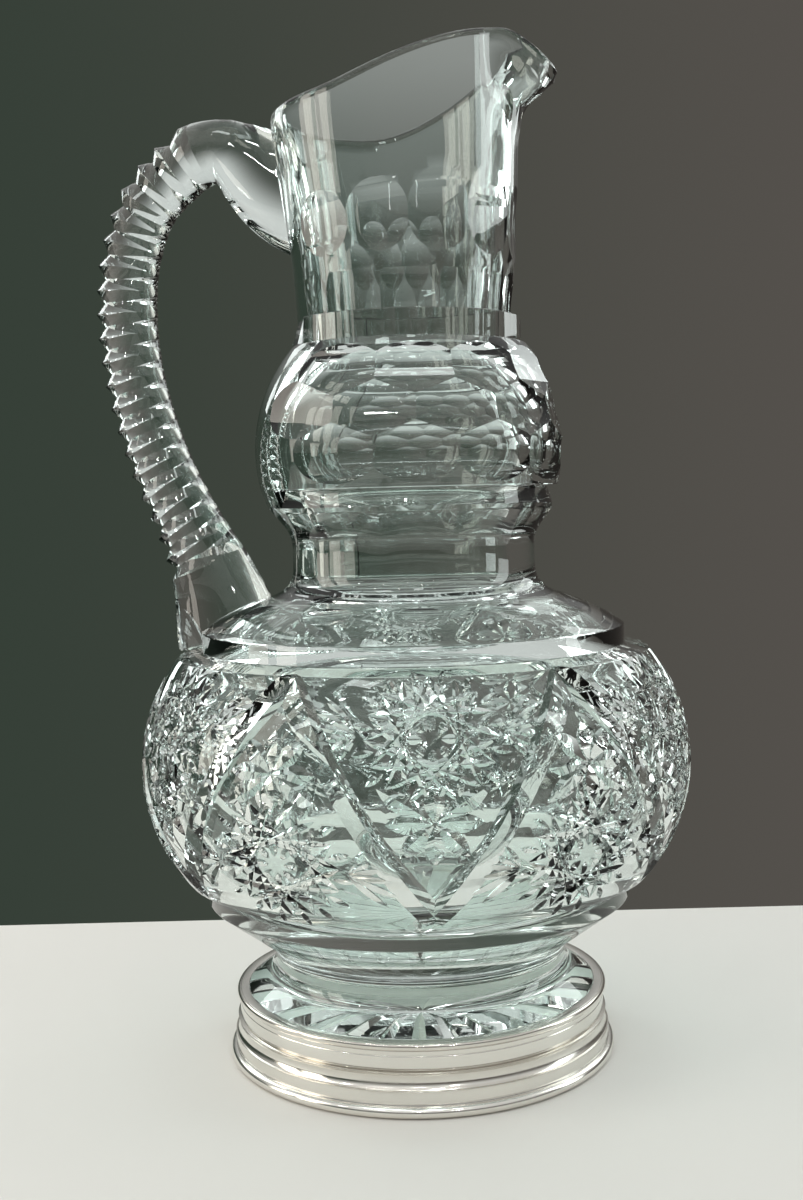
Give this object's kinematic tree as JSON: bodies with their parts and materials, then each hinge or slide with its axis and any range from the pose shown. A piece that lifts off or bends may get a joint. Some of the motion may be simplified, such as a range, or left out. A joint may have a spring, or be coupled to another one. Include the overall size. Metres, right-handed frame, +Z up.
{
  "type": "claret jug",
  "caption": "Cut crystal claret jug with a round bowl, a bulb under its neck, a pouring lip, a notched glass handle and a spun silver foot; for decanting and pouring wine.",
  "frame": {"origin": "centre of the flat ring that the jug stands on, at table level", "axes": "+Z up along the axis of the jug, +X towards the spout, the handle at -X, +Y to the left of someone who looks from the handle to the spout"},
  "size_m": [0.179, 0.163, 0.2981],
  "materials": {
    "crystal": "clear cut and polished lead crystal",
    "silver": "polished spun silver, lightly tarnished",
    "plaster": "matte plaster of Paris"
  },
  "bodies": {
    "root": {"vessel": "crystal", "handle": "crystal", "foot_mount": "silver", "rim_wire": "silver", "base_wire": "silver", "setting_bed": "plaster"}
  },
  "joints": []
}
